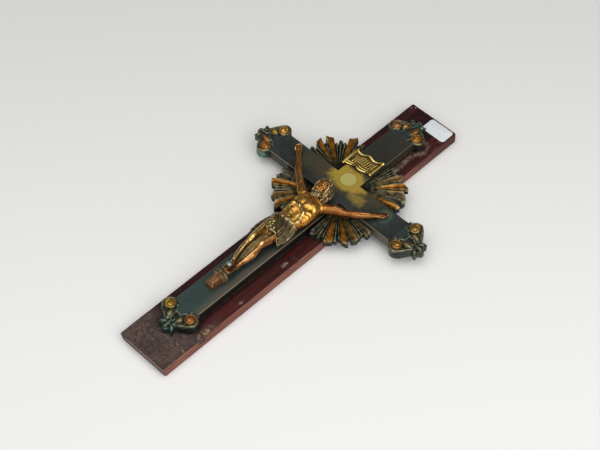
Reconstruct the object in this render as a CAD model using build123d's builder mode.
from build123d import *
from math import cos, radians, sin, sqrt, tan
import os

os.makedirs("parts", exist_ok=True)

# Crucifix lying on its back. X runs across the cross, Y along it toward the head, Z up from the
# back of the board. The origin is under the cross's centre line, at the middle of the board's length.

# Back board, a plain plank
board_width = 52.0
board_length = 353.0
board_thickness = 10.0
board_side_shift = 1.2
board_corner_radius = 2.5
board_edge_round = 1.0
board_foot_undercut = 2.3
hanger_radius = 3.0
hanger_depth = 6.5
hanger_from_head = 36.0

# Bronze bars of the cross, hollow at the back
bar_width = 25.6
bar_depth = 10.0
bar_wall = 2.5
bar_edge_round = 0.6
foot_reach = 177.5
head_reach = 79.5
arm_reach = 71.0
lap_depth = 5.0
lap_shoulder = 3.0

# Scroll ends on the four arms
volute_from_joint = 7.0
volute_half_spacing = 12.0
volute_radius = 6.2
volute_top = 0.4
scroll_arc_radius = 13.2
scroll_margin = 1.1
plate_margin = 1.5
scroll_band_width = 1.9
scroll_band_height = 1.2
boss_radius = 2.3
plate_drop = 1.0
leaf_middle = 16.2
leaf_half_width = 3.0
leaf_half_length = 3.6
side_leaf_offset = 4.6
side_leaf_radius = 2.9
leaf_drop = 1.6
tenon_length = 12.0
tenon_gap = 0.1
rivet_radius = 1.5
rivet_offset = 4.5
rivet_from_joint = 5.5

# Ray fans in the four corners of the cross
web_radius = 33.0
web_thickness = 3.6
ray_start = 3.0
broad_ray_circle = 57.5
broad_ray_height = 7.4
broad_ray_half_angle = 5.0
narrow_ray_circle = 53.0
narrow_ray_height = 5.9
narrow_ray_half_angle = 3.2
first_ray_angle = 8.0
broad_ray_count = 5
ray_top_share = 0.62
pin_radius = 0.9
pin_length = 8.0
pin_inside_bar = 3.2
pin_from_corner = 13.0

# Title scroll above the crossing
title_width = 28.5
title_height = 19.0
title_thickness = 1.7
title_rim_width = 1.3
title_rim_height = 0.8
title_wave = 1.6
title_roll_radius = 1.5
title_roll_lift = 0.3
title_from_crossing = 33.3
title_side_shift = -1.0
title_rise = 3.4
title_bar_count = 5
title_bar_width = 1.1
title_bar_height = 0.5
title_bar_pitch = 3.9
title_bar_length = 9.5
title_bar_lean = 16.0
title_spigot_radius = 1.0
title_spigot_spacing = 16.0

# Foot rest under the figure's feet
rest_top_from_crossing = 136.0
rest_moulding_width = 12.4
rest_moulding_length = 6.3
rest_moulding_height = 9.8
rest_groove = 0.7
rest_block_width = 7.0
rest_block_length = 10.2
rest_block_height = 9.0
rest_stud_radius = 2.0

# Nails, screws and label
nail_radius = 0.9
nail_head_radius = 2.0
nail_head_height = 1.3
foot_nail_radius = 1.2
foot_nail_head_radius = 2.6
screw_radius = 2.0
screw_head_radius = 3.7
screw_sink = 0.4
screw_slot_width = 0.9
screw_slot_depth = 0.8
screw_end_margin = 2.0
screw_boss_radius = 4.5
foot_screw_from_joint = 27.5
head_screw_from_joint = 24.5
label_width = 25.6
label_height = 15.4
label_thickness = 0.2
label_corner_radius = 2.0
label_side_margin = 1.6
label_head_margin = 1.8
label_clearance = 0.1
round_fit_gap = 0.15

# Places worked out from the sizes above
board_top = board_thickness
bar_face = board_top + bar_depth
bar_half = bar_width / 2
bar_inner_width = bar_width - 2 * bar_wall
bar_inner_depth = bar_depth - bar_wall
terminal_length = volute_from_joint + leaf_middle + leaf_half_length
head_margin = label_head_margin + label_height + label_clearance
crossing_y = board_length / 2 - head_margin - terminal_length - head_reach
lap_level = board_top + lap_depth
hollow_start = bar_half + lap_shoulder
foot_screw_reach = foot_reach - foot_screw_from_joint
screw_reaches = (-foot_screw_reach, -foot_screw_reach / 2, head_reach - head_screw_from_joint)
screw_spots = [(0, crossing_y + reach) for reach in screw_reaches]
screw_end = bar_face - bar_wall - screw_end_margin
crossing_screw_end = bar_face - screw_end_margin
sink_radius = screw_head_radius + screw_sink + round_fit_gap
pin_level = board_top + web_thickness / 2
fan_corners = {
    "upper_left_rays": (-1, 1),
    "upper_right_rays": (1, 1),
    "lower_left_rays": (-1, -1),
    "lower_right_rays": (1, -1),
}
terminal_joints = {
    "head_terminal": ((0, crossing_y + head_reach), (1, 0)),
    "foot_terminal": ((0, crossing_y - foot_reach), (-1, 0)),
    "right_terminal": ((arm_reach, crossing_y), (0, -1)),
    "left_terminal": ((-arm_reach, crossing_y), (0, 1)),
}

# The figure is laid out from the crossing, on the face of the bars: x, y, z, half width, half depth
figure_origin = Vector(0, crossing_y, bar_face)
trunk_stations = [
    (0.4, -82.0, 7.2, 8.6, 4.8),
    (0.4, -74.0, 7.0, 11.6, 6.3),
    (0.0, -65.5, 7.0, 10.8, 6.2),
    (-0.3, -58.0, 7.0, 9.9, 6.0),
    (0.1, -50.5, 7.6, 11.3, 6.7),
    (0.4, -42.0, 8.0, 12.7, 7.3),
    (0.4, -35.0, 7.6, 12.9, 6.6),
    (0.4, -29.4, 7.0, 11.0, 5.2),
    (0.5, -25.6, 7.4, 6.2, 4.4),
    (0.2, -21.5, 8.6, 3.9, 3.9),
]
head_stations = [
    (-0.1, -30.0, 12.6, 2.4, 2.6),
    (-0.4, -27.6, 12.6, 4.6, 4.6),
    (-0.8, -23.6, 11.2, 6.4, 6.8),
    (-1.6, -17.8, 10.2, 8.0, 8.6),
    (-2.5, -12.4, 10.4, 7.2, 8.0),
    (-3.2, -8.8, 10.8, 4.2, 4.6),
    (-3.5, -7.4, 11.0, 1.6, 1.8),
]
hair_stations = [
    (6.4, -33.0, 6.4, 1.8, 1.8),
    (6.6, -27.6, 8.0, 3.0, 3.2),
    (5.2, -20.8, 9.4, 4.2, 4.8),
    (1.6, -13.8, 9.2, 6.2, 6.2),
    (-3.6, -9.8, 9.0, 5.8, 5.2),
    (-8.0, -14.2, 8.8, 3.4, 4.2),
    (-9.2, -21.0, 8.2, 2.7, 3.3),
    (-9.2, -27.6, 6.6, 1.6, 1.8),
]
beard_stations = [
    (0.5, -33.2, 13.2, 1.2, 1.0),
    (0.1, -31.0, 13.8, 2.8, 2.2),
    (-0.2, -28.0, 14.6, 4.2, 3.0),
    (-0.4, -25.2, 14.4, 3.6, 2.4),
]
loincloth_stations = [
    (0.3, -89.0, 7.8, 9.6, 5.0),
    (0.5, -85.0, 7.6, 11.8, 6.8),
    (0.5, -77.0, 7.4, 13.0, 7.4),
    (0.4, -69.0, 7.2, 12.8, 7.2),
    (0.3, -64.6, 7.0, 11.9, 6.8),
]
drape_stations = [
    (10.8, -88.5, 3.8, 1.6, 1.4),
    (11.6, -83.0, 4.2, 2.7, 2.5),
    (11.8, -75.0, 4.8, 3.0, 2.9),
    (11.2, -68.0, 5.4, 2.4, 2.4),
]
right_leg_stations = [
    (-5.6, -76.0, 7.2, 5.4, 5.4),
    (-6.0, -84.0, 8.4, 5.5, 5.4),
    (-5.2, -94.8, 10.2, 4.4, 4.5),
    (-4.4, -101.0, 9.4, 3.9, 4.1),
    (-3.6, -108.0, 8.2, 4.0, 4.3),
    (-2.0, -118.0, 7.6, 2.9, 3.2),
    (-1.0, -125.0, 7.8, 2.4, 2.6),
]
left_leg_stations = [
    (5.8, -76.0, 7.2, 5.4, 5.4),
    (6.2, -84.0, 8.4, 5.4, 5.4),
    (5.4, -94.8, 10.0, 4.4, 4.5),
    (5.2, -101.0, 9.0, 3.9, 4.1),
    (4.8, -108.0, 7.6, 4.1, 4.3),
    (3.6, -118.0, 6.2, 2.9, 3.1),
    (2.8, -125.0, 5.8, 2.4, 2.6),
]
right_foot_stations = [
    (-0.9, -123.5, 6.6, 2.3, 2.7),
    (-0.2, -128.0, 9.0, 2.5, 2.9),
    (0.2, -132.6, 11.2, 2.8, 2.2),
    (0.5, -136.2, 13.6, 2.9, 1.4),
]
left_foot_stations = [
    (2.8, -124.0, 5.0, 2.3, 2.6),
    (2.2, -128.6, 6.2, 2.5, 2.8),
    (2.2, -132.8, 8.4, 2.7, 2.2),
    (2.6, -136.0, 11.4, 2.8, 1.4),
]
figure_back_gap = 0.3
shoulder_plane_x = 11.6
shoulder_cut_from_crossing = 37.0
shoulder_cut_size = 26.0
peg_radius = 1.6
peg_length = 4.0
peg_height = 7.0
peg_from_crossing = -31.0
right_arm_stations = [
    (-15.5, -28.2, 7.0, 4.4, 4.3),
    (-21.0, -23.2, 6.8, 3.7, 3.6),
    (-31.5, -13.0, 6.2, 3.0, 3.0),
    (-37.0, -8.2, 5.4, 3.1, 3.0),
    (-44.5, -2.6, 4.2, 2.3, 2.2),
    (-48.2, 0.6, 3.6, 2.2, 1.7),
    (-51.4, 3.6, 2.9, 2.8, 1.5),
    (-53.4, 5.6, 3.0, 2.7, 1.3),
]
left_arm_stations = [
    (15.5, -28.4, 7.0, 4.4, 4.3),
    (21.0, -24.2, 6.8, 3.7, 3.6),
    (31.5, -15.4, 6.2, 3.1, 3.0),
    (37.0, -11.2, 5.4, 3.1, 3.0),
    (43.4, -6.6, 4.2, 2.3, 2.2),
    (46.8, -3.4, 3.6, 2.2, 1.7),
    (49.6, -0.2, 2.9, 2.8, 1.5),
    (51.2, 1.9, 3.0, 2.7, 1.3),
]
finger_count = 4
finger_spacing = 1.35
finger_radius = 0.75
finger_tip_radius = 0.5
finger_length = 4.4
finger_curl = 1.4
hand_nail_back = 0.5
foot_nail_spot = (0.4, -129.6)
foot_nail_top = 12.4


def section_planes(stations):
    """Planes across a limb, each facing along the line from the station before to the one after."""
    centres = [figure_origin + Vector(x, y, z) for x, y, z, half_width, half_depth in stations]
    planes = []
    for index, centre in enumerate(centres):
        before = centres[max(index - 1, 0)]
        after = centres[min(index + 1, len(centres) - 1)]
        along = (after - before).normalized()
        across = along.cross(Vector(0, 0, 1)).normalized()
        planes.append(Plane(origin=centre, x_dir=across, z_dir=along))
    return planes


def hand_frame(stations):
    """Knuckle point of an arm with the hand's own directions: along the fingers and across the palm."""
    wrist = Vector(*stations[-3][:3])
    knuckles = Vector(*stations[-1][:3])
    along = (knuckles - wrist).normalized()
    across = along.cross(Vector(0, 0, 1)).normalized()
    return figure_origin + knuckles, along, across


def nail_spot(stations):
    """Point on the bars' face under the middle of a palm, where the nail goes in."""
    palm_x, palm_y = stations[-2][:2]
    return palm_x, crossing_y + palm_y - hand_nail_back


def palm_top(stations):
    """Height of the palm's front where the nail's head sits."""
    return bar_face + stations[-2][2] + stations[-2][4]


def ray_tip(angle, circle_radius):
    """Distance from a fan's corner, along a ray, to a circle round the middle of the crossing."""
    along = bar_half * (cos(radians(angle)) + sin(radians(angle)))
    return sqrt(along**2 - 2 * bar_half**2 + circle_radius**2) - along


hand_nail_spots = [nail_spot(right_arm_stations), nail_spot(left_arm_stations)]
hand_nail_tops = [palm_top(right_arm_stations), palm_top(left_arm_stations)]
foot_nail_place = (foot_nail_spot[0], crossing_y + foot_nail_spot[1])
foot_nail_seat = bar_face + foot_nail_top
rest_top_y = crossing_y - rest_top_from_crossing
rest_stud_y = rest_top_y - rest_moulding_length
title_place = (title_side_shift, crossing_y + title_from_crossing, bar_face)
title_plane = Plane(origin=title_place, x_dir=(1, 0, 0), z_dir=(0, 0, 1))
broad_ray_step = (90 - 2 * first_ray_angle) / (broad_ray_count - 1)
ray_forms = []
for ray_number in range(2 * broad_ray_count - 1):
    ray_angle = first_ray_angle + ray_number * broad_ray_step / 2
    if ray_number % 2 == 0:
        ray_forms.append((ray_angle, broad_ray_circle, broad_ray_half_angle, broad_ray_height))
    else:
        ray_forms.append((ray_angle, narrow_ray_circle, narrow_ray_half_angle, narrow_ray_height))

# Back board
with BuildPart() as back_board:
    with BuildSketch(Plane.YZ.offset(board_side_shift - board_width / 2)):
        with BuildLine():
            Polyline(
                (-board_length / 2, board_thickness),
                (board_length / 2, board_thickness),
                (board_length / 2, 0),
                (-board_length / 2 + board_foot_undercut, 0),
                close=True,
            )
        make_face()
    extrude(amount=board_width)
    end_faces = back_board.faces().filter_by(Axis.X, reverse=True).filter_by(Axis.Z, reverse=True)
    corner_edges = end_faces.edges().filter_by(Axis.X, reverse=True)
    fillet(corner_edges, radius=board_corner_radius)
    fillet(back_board.faces().sort_by(Axis.Z)[-1].edges(), radius=board_edge_round)
    with Locations(*[Location((x, y, 0), (180, 0, 0)) for x, y in [*screw_spots, (0, crossing_y)]]):
        CounterSinkHole(
            radius=screw_radius + round_fit_gap,
            counter_sink_radius=sink_radius,
            counter_sink_angle=90,
        )
    with Locations(Location((board_side_shift, board_length / 2 - hanger_from_head, 0), (180, 0, 0))):
        Hole(radius=hanger_radius, depth=hanger_depth)
back_board.part.label = "back_board"
export_step(back_board.part, "parts/back_board.step")

# Upright beam: two hollow lengths joined by the lower half of the lap joint
with BuildPart() as upright_beam:
    with BuildSketch(Plane.XY.offset(board_top)):
        with Locations((0, crossing_y - (bar_half + foot_reach) / 2)):
            Rectangle(bar_width, foot_reach - bar_half)
        with Locations((0, crossing_y + (bar_half + head_reach) / 2)):
            Rectangle(bar_width, head_reach - bar_half)
    extrude(amount=bar_depth)
    face_edges = upright_beam.faces().filter_by(Axis.Z).group_by(Axis.Z)[-1].edges()
    fillet(face_edges.filter_by(Axis.Y), radius=bar_edge_round)
    with BuildSketch(Plane.XY.offset(board_top)):
        with Locations((0, crossing_y - (hollow_start + foot_reach) / 2)):
            Rectangle(bar_inner_width, foot_reach - hollow_start)
        with Locations((0, crossing_y + (hollow_start + head_reach) / 2)):
            Rectangle(bar_inner_width, head_reach - hollow_start)
    extrude(amount=bar_inner_depth, mode=Mode.SUBTRACT)
    with BuildSketch(Plane.XY.offset(board_top)):
        with Locations((0, crossing_y)):
            Rectangle(bar_width, bar_width)
    extrude(amount=lap_depth)
    with BuildSketch(Plane.XY.offset(board_top)):
        with Locations(*screw_spots):
            Circle(screw_boss_radius)
    extrude(amount=bar_inner_depth)
    with Locations(*[Location((x, y, board_top), (180, 0, 0)) for x, y in screw_spots]):
        Hole(radius=screw_radius + round_fit_gap, depth=screw_end - board_top + round_fit_gap)
    with Locations(Location((0, crossing_y, board_top), (180, 0, 0))):
        Hole(radius=screw_radius + round_fit_gap, depth=lap_depth)
    with Locations((foot_nail_place[0], foot_nail_place[1], bar_face)):
        Hole(radius=foot_nail_radius + round_fit_gap, depth=bar_wall)
    with Locations((0, rest_stud_y, bar_face)):
        Hole(radius=rest_stud_radius + round_fit_gap, depth=bar_wall)
    with BuildSketch(title_plane):
        with GridLocations(title_spigot_spacing, 0, 2, 1):
            Circle(title_spigot_radius + round_fit_gap)
    extrude(amount=-bar_wall, mode=Mode.SUBTRACT)
    with BuildSketch(Plane.XY.offset(bar_face)):
        with Locations((rivet_offset, crossing_y + head_reach - rivet_from_joint)):
            Circle(rivet_radius + round_fit_gap)
        with Locations((-rivet_offset, crossing_y - foot_reach + rivet_from_joint)):
            Circle(rivet_radius + round_fit_gap)
    extrude(amount=-bar_wall, mode=Mode.SUBTRACT)
    for side, end in fan_corners.values():
        pin_mouth = (side * bar_half, crossing_y + end * (bar_half + pin_from_corner), pin_level)
        with Locations(Location(pin_mouth, (0, side * 90, 0))):
            Hole(radius=pin_radius + round_fit_gap, depth=pin_inside_bar + round_fit_gap)
upright_beam.part.label = "upright_beam"
export_step(upright_beam.part, "parts/upright_beam.step")

# Crossbar: two hollow arms joined by the upper half of the lap joint
with BuildPart() as crossbar:
    arm_middle = (bar_half + arm_reach) / 2
    hollow_middle = (hollow_start + arm_reach) / 2
    with BuildSketch(Plane.XY.offset(board_top)):
        with Locations((-arm_middle, crossing_y), (arm_middle, crossing_y)):
            Rectangle(arm_reach - bar_half, bar_width)
    extrude(amount=bar_depth)
    face_edges = crossbar.faces().filter_by(Axis.Z).group_by(Axis.Z)[-1].edges()
    fillet(face_edges.filter_by(Axis.X), radius=bar_edge_round)
    with BuildSketch(Plane.XY.offset(board_top)):
        with Locations((-hollow_middle, crossing_y), (hollow_middle, crossing_y)):
            Rectangle(arm_reach - hollow_start, bar_inner_width)
    extrude(amount=bar_inner_depth, mode=Mode.SUBTRACT)
    with BuildSketch(Plane.XY.offset(lap_level)):
        with Locations((0, crossing_y)):
            Rectangle(bar_width, bar_width)
    extrude(amount=bar_depth - lap_depth)
    with Locations(Location((0, crossing_y, lap_level), (180, 0, 0))):
        Hole(radius=screw_radius + round_fit_gap, depth=crossing_screw_end - lap_level + round_fit_gap)
    with Locations(*[(x, y, bar_face) for x, y in hand_nail_spots]):
        Hole(radius=nail_radius + round_fit_gap, depth=bar_wall)
    with BuildSketch(Plane.XY.offset(bar_face)):
        with Locations((arm_reach - rivet_from_joint, crossing_y - rivet_offset)):
            Circle(rivet_radius + round_fit_gap)
        with Locations((-arm_reach + rivet_from_joint, crossing_y + rivet_offset)):
            Circle(rivet_radius + round_fit_gap)
    extrude(amount=-bar_wall, mode=Mode.SUBTRACT)
    for side, end in fan_corners.values():
        pin_mouth = (side * (bar_half + pin_from_corner), crossing_y + end * bar_half, pin_level)
        with Locations(Location(pin_mouth, (-end * 90, 0, 0))):
            Hole(radius=pin_radius + round_fit_gap, depth=pin_inside_bar + round_fit_gap)
crossbar.part.label = "crossbar"
export_step(crossbar.part, "parts/crossbar.step")

# Scroll ends: a plate with two volutes, a scroll band from each and a leaf at the tip
for terminal_name, (joint, across) in terminal_joints.items():
    joint_plane = Plane(origin=(*joint, board_top), x_dir=(*across, 0), z_dir=(0, 0, 1))
    scroll_middle = joint_plane.from_local_coords((0, volute_from_joint, 0))
    scroll_plane = Plane(scroll_middle, joint_plane.x_dir, joint_plane.z_dir)
    arc_middle = volute_half_spacing + volute_radius - scroll_margin - scroll_arc_radius
    band_end = volute_half_spacing + volute_radius - scroll_margin
    band_start = (arc_middle / 2, sqrt(scroll_arc_radius**2 - (arc_middle / 2) ** 2))
    band_bend = (
        arc_middle + scroll_arc_radius * cos(radians(45)),
        scroll_arc_radius * sin(radians(45)),
    )
    outer_turn = volute_radius - scroll_margin
    inner_turn = outer_turn - scroll_band_width / 2
    eye_turn = inner_turn - scroll_band_width
    with BuildPart() as terminal:
        with BuildSketch(scroll_plane):
            with Locations((-arc_middle, 0), (arc_middle, 0)):
                Circle(scroll_arc_radius + plate_margin)
            with Locations((0, -scroll_arc_radius)):
                Rectangle(4 * scroll_arc_radius, 2 * scroll_arc_radius, mode=Mode.SUBTRACT)
            with Locations((0, -volute_from_joint / 2)):
                Rectangle(bar_width, volute_from_joint)
        extrude(amount=bar_depth - plate_drop)
        with BuildSketch(scroll_plane):
            with Locations((-volute_half_spacing, 0), (volute_half_spacing, 0)):
                Circle(volute_radius)
        extrude(amount=bar_depth + volute_top)
        with BuildSketch(scroll_plane):
            with Locations((0, leaf_middle)):
                Ellipse(leaf_half_width, leaf_half_length)
            with Locations((0, leaf_middle - side_leaf_radius / 2)):
                with GridLocations(2 * side_leaf_offset, 0, 2, 1):
                    Circle(side_leaf_radius)
        extrude(amount=bar_depth - leaf_drop)
        with BuildSketch(scroll_plane.offset(bar_depth - plate_drop - scroll_band_height)):
            for side in (-1, 1):
                with BuildLine():
                    ThreePointArc(
                        (side * band_start[0], band_start[1]),
                        (side * band_bend[0], band_bend[1]),
                        (side * band_end, 0),
                    )
                    turn_start = volute_half_spacing + outer_turn
                    turn_end = volute_half_spacing - inner_turn
                    ThreePointArc(
                        (side * turn_start, 0),
                        (side * (turn_start + turn_end) / 2, -(turn_start - turn_end) / 2),
                        (side * turn_end, 0),
                    )
                    eye_end = volute_half_spacing + eye_turn
                    ThreePointArc(
                        (side * turn_end, 0),
                        (side * (turn_end + eye_end) / 2, (eye_end - turn_end) / 2),
                        (side * eye_end, 0),
                    )
                trace(line_width=scroll_band_width)
        extrude(amount=plate_drop + volute_top + 2 * scroll_band_height)
        for side in (-1, 1):
            boss_place = (side * volute_half_spacing, 0, bar_depth + volute_top)
            with Locations(scroll_plane.from_local_coords(boss_place)):
                Sphere(boss_radius)
        with BuildSketch(joint_plane):
            with Locations((0, -tenon_length / 2)):
                Rectangle(bar_inner_width - 2 * tenon_gap, tenon_length)
        extrude(amount=bar_inner_depth - tenon_gap)
        with BuildSketch(joint_plane):
            with Locations((rivet_offset, -rivet_from_joint)):
                Circle(rivet_radius + round_fit_gap)
        extrude(amount=bar_inner_depth, mode=Mode.SUBTRACT)
    terminal.part.label = terminal_name
    export_step(terminal.part, f"parts/{terminal_name}.step")

# Rivets through the bars' faces into the scroll ends' tenons
with BuildPart() as terminal_rivets:
    for joint, across in terminal_joints.values():
        joint_plane = Plane(origin=(*joint, board_top), x_dir=(*across, 0), z_dir=(0, 0, 1))
        with BuildSketch(joint_plane):
            with Locations((rivet_offset, -rivet_from_joint)):
                Circle(rivet_radius)
        extrude(amount=bar_depth)
terminal_rivets.part.label = "terminal_rivets"
export_step(terminal_rivets.part, "parts/terminal_rivets.step")

# Ray fans: a quarter-round web with broad and narrow rays that spread from the corner of the bars
for fan_name, (side, end) in fan_corners.items():
    corner_x = side * bar_half
    corner_y = crossing_y + end * bar_half
    with BuildPart() as fan:
        with BuildSketch(Plane.XY.offset(board_top)):
            with BuildLine():
                Line((corner_x, corner_y), (corner_x + side * web_radius, corner_y))
                ThreePointArc(
                    (corner_x + side * web_radius, corner_y),
                    (
                        corner_x + side * web_radius * cos(radians(45)),
                        corner_y + end * web_radius * sin(radians(45)),
                    ),
                    (corner_x, corner_y + end * web_radius),
                )
                Line((corner_x, corner_y + end * web_radius), (corner_x, corner_y))
            make_face()
        extrude(amount=web_thickness)
        for ray_angle, ray_circle, half_angle, ray_height in ray_forms:
            tip = ray_tip(ray_angle, ray_circle)
            for level, share in ((0, 1), (ray_height, ray_top_share)):
                half_start = ray_start * tan(radians(half_angle)) * share
                half_tip = tip * tan(radians(half_angle)) * share
                ray_plane = Plane(
                    origin=(corner_x, corner_y, board_top + level),
                    x_dir=(side * cos(radians(ray_angle)), end * sin(radians(ray_angle)), 0),
                    z_dir=(0, 0, 1),
                )
                with BuildSketch(ray_plane):
                    with BuildLine():
                        Polyline(
                            (ray_start, -half_start),
                            (tip, -half_tip),
                            (tip, half_tip),
                            (ray_start, half_start),
                            close=True,
                        )
                    make_face()
            loft(ruled=True)
        upright_pin = (corner_x, corner_y + end * pin_from_corner, pin_level)
        crossbar_pin = (corner_x + side * pin_from_corner, corner_y, pin_level)
        pin_hole_depth = pin_length - pin_inside_bar + round_fit_gap
        upright_mouth = Location(upright_pin, (0, -side * 90, 0))
        crossbar_mouth = Location(crossbar_pin, (end * 90, 0, 0))
        with Locations(upright_mouth, crossbar_mouth):
            Hole(radius=pin_radius + round_fit_gap, depth=pin_hole_depth)
    fan.part.label = fan_name
    export_step(fan.part, f"parts/{fan_name}.step")

# Dowel pins between the fans and the sides of the bars
with BuildPart() as ray_pins:
    for side, end in fan_corners.values():
        inner_end = bar_half - pin_inside_bar
        beside_corner = bar_half + pin_from_corner
        upright_pin = (side * inner_end, crossing_y + end * beside_corner, pin_level)
        crossbar_pin = (side * beside_corner, crossing_y + end * inner_end, pin_level)
        for pin_start, pin_way in ((upright_pin, (side, 0, 0)), (crossbar_pin, (0, end, 0))):
            with BuildSketch(Plane(origin=pin_start, z_dir=pin_way)):
                Circle(pin_radius)
            extrude(amount=pin_length)
ray_pins.part.label = "ray_pins"
export_step(ray_pins.part, "parts/ray_pins.step")

def scroll_outline(half_width, half_height):
    """Closed outline that rises to the right, with a bent top edge and two swags at the bottom."""
    rise = title_rise / 2
    Spline(
        (-half_width, half_height - rise),
        (-half_width / 2, half_height - rise / 2 - title_wave / 2),
        (half_width / 2, half_height + rise / 2 + title_wave / 2),
        (half_width, half_height + rise),
    )
    Line((half_width, half_height + rise), (half_width, -half_height + rise))
    Spline(
        (half_width, -half_height + rise),
        (half_width / 2, -half_height + rise / 2 - title_wave),
        (0, -half_height + title_wave),
        (-half_width / 2, -half_height - rise / 2 - title_wave),
        (-half_width, -half_height - rise),
    )
    Line((-half_width, -half_height - rise), (-half_width, half_height - rise))


# Title scroll: a wavy plaque with a rim, a rolled left edge and slanted reeding in its field
with BuildPart() as title_scroll:
    half_width = title_width / 2
    half_height = title_height / 2
    with BuildSketch(title_plane):
        with BuildLine():
            scroll_outline(half_width, half_height)
        make_face()
    extrude(amount=title_thickness)
    with BuildSketch(title_plane.offset(title_thickness)):
        with BuildLine():
            scroll_outline(half_width, half_height)
        make_face()
        with BuildLine():
            scroll_outline(half_width - title_rim_width, half_height - title_rim_width)
        make_face(mode=Mode.SUBTRACT)
    extrude(amount=title_rim_height)
    with BuildSketch(title_plane.offset(title_thickness)):
        with GridLocations(title_bar_pitch, 0, title_bar_count, 1):
            Rectangle(title_bar_width, title_bar_length, rotation=-title_bar_lean)
    extrude(amount=title_bar_height)
    with BuildSketch(title_plane.offset(-bar_wall)):
        with GridLocations(title_spigot_spacing, 0, 2, 1):
            Circle(title_spigot_radius)
    extrude(amount=bar_wall)
    roll_height = title_roll_radius + title_roll_lift
    roll_start = title_plane.from_local_coords((-half_width, -half_height - title_rise / 2, roll_height))
    with BuildSketch(Plane(origin=roll_start, x_dir=title_plane.x_dir, z_dir=title_plane.y_dir)):
        Circle(title_roll_radius)
    extrude(amount=title_height)
title_scroll.part.label = "title_scroll"
export_step(title_scroll.part, "parts/title_scroll.step")

# Foot rest: a block with a wider double moulding at the top, and a stud through the upright's face
with BuildPart() as foot_rest:
    with BuildSketch(Plane.XY.offset(bar_face)):
        with Locations((0, rest_top_y - rest_moulding_length - rest_block_length / 2)):
            Rectangle(rest_block_width, rest_block_length)
    extrude(amount=rest_block_height)
    with BuildSketch(Plane.XY.offset(bar_face)):
        with Locations((0, rest_top_y - rest_moulding_length / 2)):
            Rectangle(rest_moulding_width, rest_moulding_length)
    extrude(amount=rest_moulding_height)
    fillet(foot_rest.edges().filter_by(Axis.Z), radius=rest_groove)
    with BuildSketch(Plane.XY.offset(bar_face)):
        with Locations((0, rest_stud_y)):
            Circle(rest_stud_radius)
    extrude(amount=-bar_wall)
    groove_y = rest_top_y - rest_moulding_length / 2
    for groove_side in (-1, 1):
        groove_start = (groove_side * rest_moulding_width / 2, groove_y, bar_face)
        with BuildSketch(Plane(origin=groove_start, z_dir=(0, 0, 1))):
            Circle(rest_groove)
        extrude(amount=rest_moulding_height, mode=Mode.SUBTRACT)
    front_groove = (-rest_moulding_width / 2, groove_y, bar_face + rest_moulding_height)
    with BuildSketch(Plane(origin=front_groove, z_dir=(1, 0, 0))):
        Circle(rest_groove)
    extrude(amount=rest_moulding_width, mode=Mode.SUBTRACT)
foot_rest.part.label = "foot_rest"
export_step(foot_rest.part, "parts/foot_rest.step")

# Figure: trunk, head, loincloth, legs and feet in one casting
figure_forms = [
    trunk_stations,
    head_stations,
    hair_stations,
    beard_stations,
    loincloth_stations,
    drape_stations,
    right_leg_stations,
    left_leg_stations,
    right_foot_stations,
    left_foot_stations,
]
with BuildPart() as corpus_figure:
    for stations in figure_forms:
        for plane, station in zip(section_planes(stations), stations):
            with BuildSketch(plane):
                Ellipse(station[3], station[4])
        loft()
    split(bisect_by=Plane.XY.offset(bar_face + figure_back_gap), keep=Keep.TOP)
    cut_middle_x = shoulder_plane_x + shoulder_cut_size / 2
    cut_middle_y = crossing_y - shoulder_cut_from_crossing + shoulder_cut_size / 2
    for side in (-1, 1):
        with BuildSketch(Plane.XY.offset(bar_face)):
            with Locations((side * cut_middle_x, cut_middle_y)):
                Rectangle(shoulder_cut_size, shoulder_cut_size)
        extrude(amount=shoulder_cut_size, mode=Mode.SUBTRACT)
        peg_start = (side * shoulder_plane_x, crossing_y + peg_from_crossing, bar_face + peg_height)
        with Locations(Location(peg_start, (0, side * 90, 0))):
            Hole(radius=peg_radius + round_fit_gap, depth=peg_length + round_fit_gap)
    with BuildSketch(Plane.XY.offset(bar_face)):
        with Locations((0, rest_top_y - rest_moulding_length / 2)):
            Rectangle(2 * rest_moulding_width, rest_moulding_length)
    extrude(amount=rest_moulding_height, mode=Mode.SUBTRACT)
    with Locations((*foot_nail_place, bar_face)):
        Cylinder(
            foot_nail_radius + round_fit_gap,
            2 * foot_nail_top,
            mode=Mode.SUBTRACT,
        )
    with Locations((*foot_nail_place, foot_nail_seat)):
        Cylinder(
            foot_nail_head_radius + round_fit_gap,
            foot_nail_top,
            align=(Align.CENTER, Align.CENTER, Align.MIN),
            mode=Mode.SUBTRACT,
        )
corpus_figure.part.label = "corpus_figure"
export_step(corpus_figure.part, "parts/corpus_figure.step")

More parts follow.
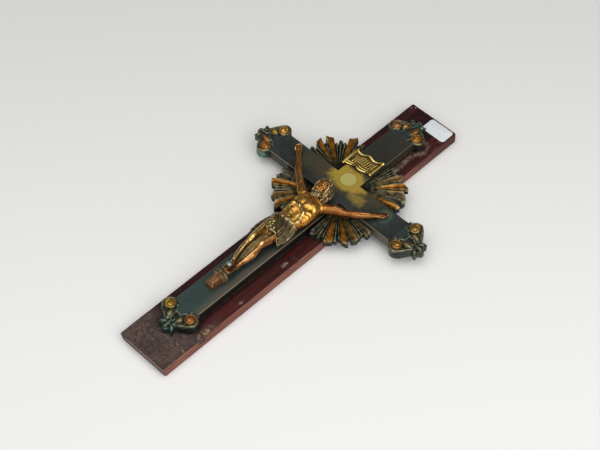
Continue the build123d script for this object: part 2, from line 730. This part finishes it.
# Arms, each with its hand and a peg into the shoulder
arms = {
    "corpus_right_arm": (right_arm_stations, -1),
    "corpus_left_arm": (left_arm_stations, 1),
}
for arm_name, (stations, side) in arms.items():
    shoulder_start = (side * shoulder_plane_x, crossing_y + peg_from_crossing, bar_face + peg_height)
    knuckles, along, across = hand_frame(stations)
    with BuildPart() as arm:
        with BuildSketch(Plane(origin=shoulder_start, x_dir=(0, -side, 0), z_dir=(side, 0, 0))):
            Ellipse(stations[0][3], stations[0][4])
        for plane, station in zip(section_planes(stations), stations):
            with BuildSketch(plane):
                Ellipse(station[3], station[4])
        loft()
        with BuildSketch(Plane(origin=shoulder_start, z_dir=(-side, 0, 0))):
            Circle(peg_radius)
        extrude(amount=peg_length)
        for finger in range(finger_count):
            offset_across = (finger - (finger_count - 1) / 2) * finger_spacing
            base = knuckles + across * offset_across - along * finger_radius
            tip = base + along * finger_length + Vector(0, 0, finger_curl)
            with BuildSketch(Plane(origin=base, z_dir=tip - base)):
                Circle(finger_radius)
            with BuildSketch(Plane(origin=tip, z_dir=tip - base)):
                Circle(finger_tip_radius)
            loft()
        nail_x, nail_y = nail_spot(stations)
        with Locations((nail_x, nail_y, palm_top(stations))):
            Cylinder(nail_radius + round_fit_gap, 4 * stations[-2][4], mode=Mode.SUBTRACT)
            Cylinder(
                nail_head_radius + round_fit_gap,
                nail_head_height,
                align=(Align.CENTER, Align.CENTER, Align.MIN),
                mode=Mode.SUBTRACT,
            )
    arm.part.label = arm_name
    export_step(arm.part, f"parts/{arm_name}.step")

# Nails through the palms into the crossbar's face
with BuildPart() as hand_nails:
    for (nail_x, nail_y), seat in zip(hand_nail_spots, hand_nail_tops):
        with Locations((nail_x, nail_y, bar_face - bar_wall)):
            Cylinder(
                nail_radius,
                seat - bar_face + bar_wall,
                align=(Align.CENTER, Align.CENTER, Align.MIN),
            )
        with Locations((nail_x, nail_y, seat)):
            Cone(
                nail_head_radius,
                nail_radius,
                nail_head_height,
                align=(Align.CENTER, Align.CENTER, Align.MIN),
            )
hand_nails.part.label = "hand_nails"
export_step(hand_nails.part, "parts/hand_nails.step")

# Nail through both feet into the upright's face
with BuildPart() as foot_nail:
    with Locations((*foot_nail_place, bar_face - bar_wall)):
        Cylinder(
            foot_nail_radius,
            foot_nail_top + bar_wall,
            align=(Align.CENTER, Align.CENTER, Align.MIN),
        )
    with Locations((*foot_nail_place, foot_nail_seat)):
        Cone(
            foot_nail_head_radius,
            foot_nail_radius,
            nail_head_height,
            align=(Align.CENTER, Align.CENTER, Align.MIN),
        )
foot_nail.part.label = "foot_nail"
export_step(foot_nail.part, "parts/foot_nail.step")


def screw_profile(end_level):
    """Half outline of a countersunk screw from its head, sunk in the board's back, up to its end."""
    neck_level = screw_sink + screw_head_radius - screw_radius
    return [
        (0, screw_sink),
        (screw_head_radius, screw_sink),
        (screw_radius, neck_level),
        (screw_radius, end_level),
        (0, end_level),
    ]


# Screws from the back of the board into the upright's bosses
with BuildPart() as beam_screws:
    for screw_x, screw_y in screw_spots:
        screw_plane = Plane(origin=(screw_x, screw_y, 0), x_dir=(1, 0, 0), z_dir=(0, -1, 0))
        with BuildSketch(screw_plane):
            with BuildLine():
                Polyline(*screw_profile(screw_end), close=True)
            make_face()
        revolve(axis=Axis((screw_x, screw_y, 0), (0, 0, 1)))
    with BuildSketch(Plane.XY.offset(screw_sink)):
        with Locations(*screw_spots):
            Rectangle(2 * screw_head_radius, screw_slot_width)
    extrude(amount=screw_slot_depth, mode=Mode.SUBTRACT)
beam_screws.part.label = "beam_screws"
export_step(beam_screws.part, "parts/beam_screws.step")

# Longer screw through the board and both halves of the lap joint
with BuildPart() as crossing_screw:
    with BuildSketch(Plane(origin=(0, crossing_y, 0), x_dir=(1, 0, 0), z_dir=(0, -1, 0))):
        with BuildLine():
            Polyline(*screw_profile(crossing_screw_end), close=True)
        make_face()
    revolve(axis=Axis((0, crossing_y, 0), (0, 0, 1)))
    with BuildSketch(Plane.XY.offset(screw_sink)):
        with Locations((0, crossing_y)):
            Rectangle(2 * screw_head_radius, screw_slot_width)
    extrude(amount=screw_slot_depth, mode=Mode.SUBTRACT)
crossing_screw.part.label = "crossing_screw"
export_step(crossing_screw.part, "parts/crossing_screw.step")

# Paper label on the board, near the head end
label_x = board_side_shift + board_width / 2 - label_side_margin - label_width / 2
label_y = board_length / 2 - label_head_margin - label_height / 2
with BuildPart() as paper_label:
    with BuildSketch(Plane.XY.offset(board_top)):
        with Locations((label_x, label_y)):
            RectangleRounded(label_width, label_height, label_corner_radius)
    extrude(amount=label_thickness)
paper_label.part.label = "paper_label"
export_step(paper_label.part, "parts/paper_label.step")
